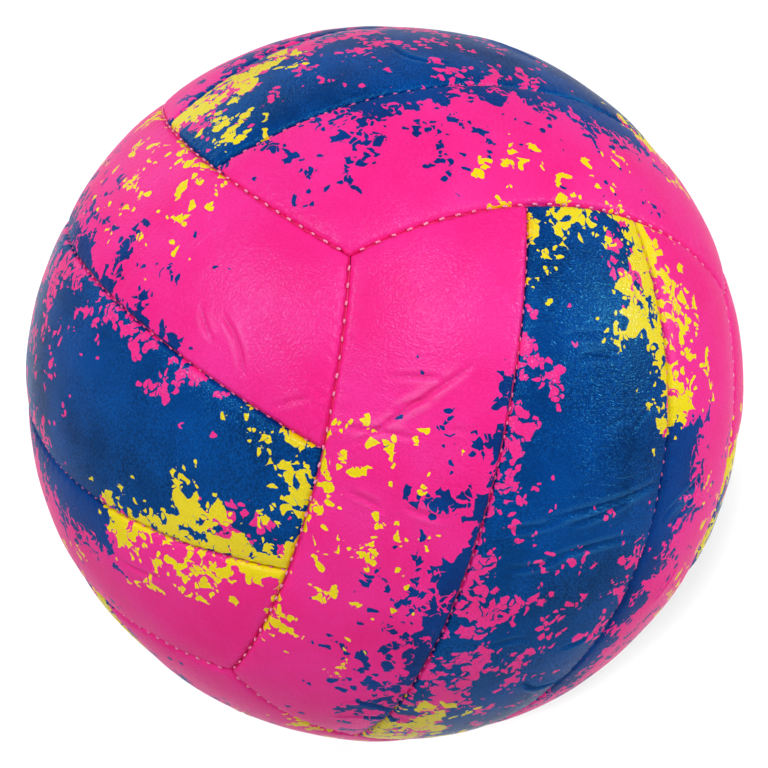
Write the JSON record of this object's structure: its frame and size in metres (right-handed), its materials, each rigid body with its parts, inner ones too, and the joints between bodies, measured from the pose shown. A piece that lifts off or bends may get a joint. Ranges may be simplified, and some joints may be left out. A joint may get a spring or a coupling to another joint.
{
  "type": "volleyball",
  "caption": "Padded volleyball with sewn strip panels, rolled seam edges, an inner air bladder and a needle valve.",
  "frame": {"origin": "centre of the ball", "axes": "+Z out through the middle of the top face, -Y through the front face, +X through the right face, +Y out through the valve"},
  "size_m": [0.21, 0.2099, 0.21],
  "materials": {
    "cover_side": "soft synthetic leather, fine grain, pink with flakes",
    "cover_centre": "soft synthetic leather, fine grain, blue with flakes",
    "foam": "closed-cell foam",
    "backing_cloth": "plain woven cloth",
    "thread": "twisted polyester thread",
    "bladder_rubber": "smooth thin rubber",
    "valve_rubber": "moulded rubber",
    "plug_rubber": "moulded self-sealing rubber"
  },
  "bodies": {
    "root": {"skin_right_1": "cover_side", "skin_right_2": "cover_centre", "skin_right_3": "cover_side", "skin_left_1": "cover_side", "skin_left_2": "cover_centre", "skin_left_3": "cover_side", "skin_top_1": "cover_side", "skin_top_2": "cover_centre", "skin_top_3": "cover_side", "skin_bottom_1": "cover_side", "skin_bottom_2": "cover_centre", "skin_bottom_3": "cover_side", "skin_front_1": "cover_side", "skin_front_2": "cover_centre", "skin_front_3": "cover_side", "skin_back_1": "cover_side", "skin_back_2": "cover_centre", "skin_back_3": "cover_side", "foam_right_1": "foam", "foam_right_2": "foam", "foam_right_3": "foam", "foam_left_1": "foam", "foam_left_2": "foam", "foam_left_3": "foam", "foam_top_1": "foam", "foam_top_2": "foam", "foam_top_3": "foam", "foam_bottom_1": "foam", "foam_bottom_2": "foam", "foam_bottom_3": "foam", "foam_front_1": "foam", "foam_front_2": "foam", "foam_front_3": "foam", "foam_back_1": "foam", "foam_back_2": "foam", "foam_back_3": "foam", "cloth_right_1": "backing_cloth", "cloth_right_2": "backing_cloth", "cloth_right_3": "backing_cloth", "cloth_left_1": "backing_cloth", "cloth_left_2": "backing_cloth", "cloth_left_3": "backing_cloth", "cloth_top_1": "backing_cloth", "cloth_top_2": "backing_cloth", "cloth_top_3": "backing_cloth", "cloth_bottom_1": "backing_cloth", "cloth_bottom_2": "backing_cloth", "cloth_bottom_3": "backing_cloth", "cloth_front_1": "backing_cloth", "cloth_front_2": "backing_cloth", "cloth_front_3": "backing_cloth", "cloth_back_1": "backing_cloth", "cloth_back_2": "backing_cloth", "cloth_back_3": "backing_cloth", "edge_thread": "thread", "strip_thread": "thread", "bladder": "bladder_rubber", "valve_body": "valve_rubber", "valve_plug": "plug_rubber"}
  },
  "joints": []
}
